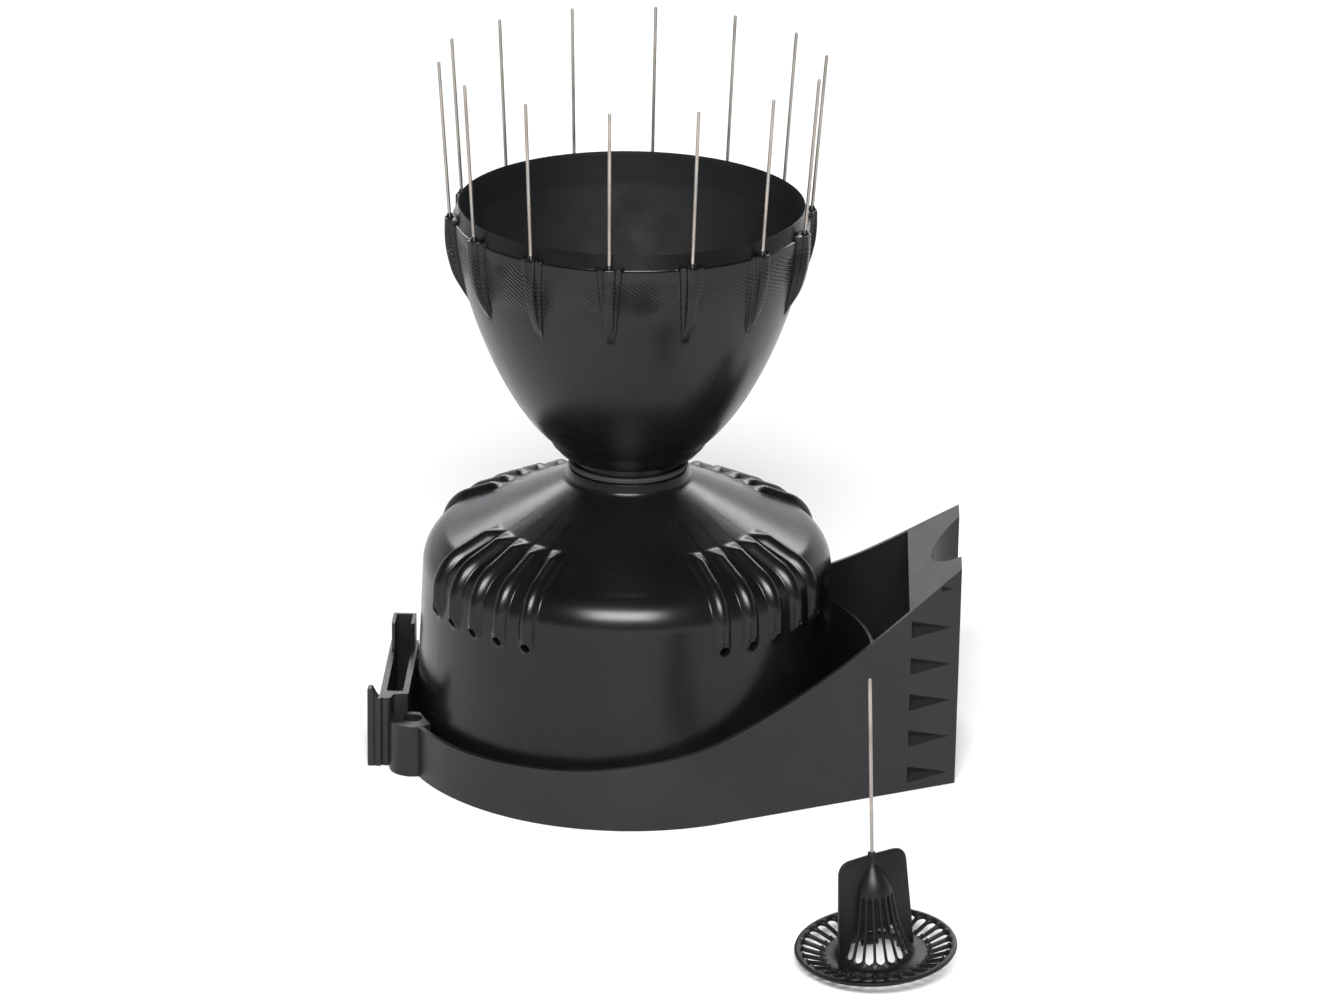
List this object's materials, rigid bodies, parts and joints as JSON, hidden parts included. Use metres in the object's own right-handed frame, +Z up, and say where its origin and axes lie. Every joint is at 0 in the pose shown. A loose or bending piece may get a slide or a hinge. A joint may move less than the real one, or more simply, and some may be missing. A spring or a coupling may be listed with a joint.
{
  "type": "rain collector",
  "caption": "Tipping bucket rain collector: a deep funnel with a ring of bird spikes on a ventilated dome, in a tray base with a mast flange, and a loose debris screen",
  "frame": {"origin": "on the collector's axis, on the flat underside of the base", "axes": "+Z up along the collector's axis, +X towards the mast flange, the loose debris screen stands on the -Y side"},
  "size_m": [0.286, 0.398, 0.3486],
  "materials": {
    "collector_black": "semi-gloss black moulded plastic",
    "base_charcoal": "satin charcoal moulded plastic",
    "works_white": "white moulded plastic",
    "stainless": "drawn stainless steel",
    "brass": "turned brass",
    "rubber": "matte black rubber",
    "clear_glass": "clear glass"
  },
  "bodies": {
    "base": {"base_wall_near": "base_charcoal", "base_wall_far": "base_charcoal", "base_floor": "base_charcoal", "bay_bulkhead": "base_charcoal", "accessory_rail": "base_charcoal", "mast_saddle": "base_charcoal", "bayonet_catch_1": "base_charcoal", "bayonet_catch_2": "base_charcoal", "bayonet_catch_3": "base_charcoal", "pivot_bracket_near": "works_white", "pivot_bracket_far": "works_white", "bracket_screw_near": "stainless", "bracket_screw_far": "stainless", "stop_post_left": "works_white", "stop_post_right": "works_white", "drain_screen_left": "stainless", "drain_screen_right": "stainless", "cable_grommet": "rubber", "level_cup": "works_white", "level_vial": "clear_glass", "sensor_housing": "collector_black", "reed_switch": "clear_glass"},
    "bucket": {"tipping_bucket": "works_white", "bucket_magnet": "stainless", "pivot_axle": "stainless"},
    "stop_left": {"adjust_screw_left": "brass"},
    "stop_right": {"adjust_screw_right": "brass"},
    "cover": {"dome_cover": "collector_black", "neck_gasket": "rubber", "collector_cone": "collector_black", "inner_funnel": "collector_black", "spike_01": "stainless", "spike_02": "stainless", "spike_03": "stainless", "spike_04": "stainless", "spike_05": "stainless", "spike_06": "stainless", "spike_07": "stainless", "spike_08": "stainless", "spike_09": "stainless", "spike_10": "stainless", "spike_11": "stainless", "spike_12": "stainless", "spike_13": "stainless", "spike_14": "stainless"},
    "screen": {"debris_screen": "collector_black", "screen_spike": "stainless"}
  },
  "joints": [
    {"name": "bucket_tip", "type": "hinge", "parent": "base", "child": "bucket", "pos_m": [0, 0, 0.045], "axis": [0, 1, 0], "range_deg": [-40, 0]},
    {"name": "cover_twist", "type": "hinge", "parent": "base", "child": "cover", "pos_m": [0, 0, 0.1], "axis": [0, 0, 1], "range_deg": [0, 15]},
    {"name": "stop_left_turn", "type": "hinge", "parent": "base", "child": "stop_left", "pos_m": [-0.033, 0, 0.02], "axis": [0, 0, 1], "range_deg": [-180, 180]},
    {"name": "stop_right_turn", "type": "hinge", "parent": "base", "child": "stop_right", "pos_m": [0.033, 0, 0.02], "axis": [0, 0, 1], "range_deg": [-180, 180]},
    {"name": "screen_lift", "type": "slide", "parent": "base", "child": "screen", "axis": [0, 0, 1], "range_m": [0, 0.3]}
  ]
}
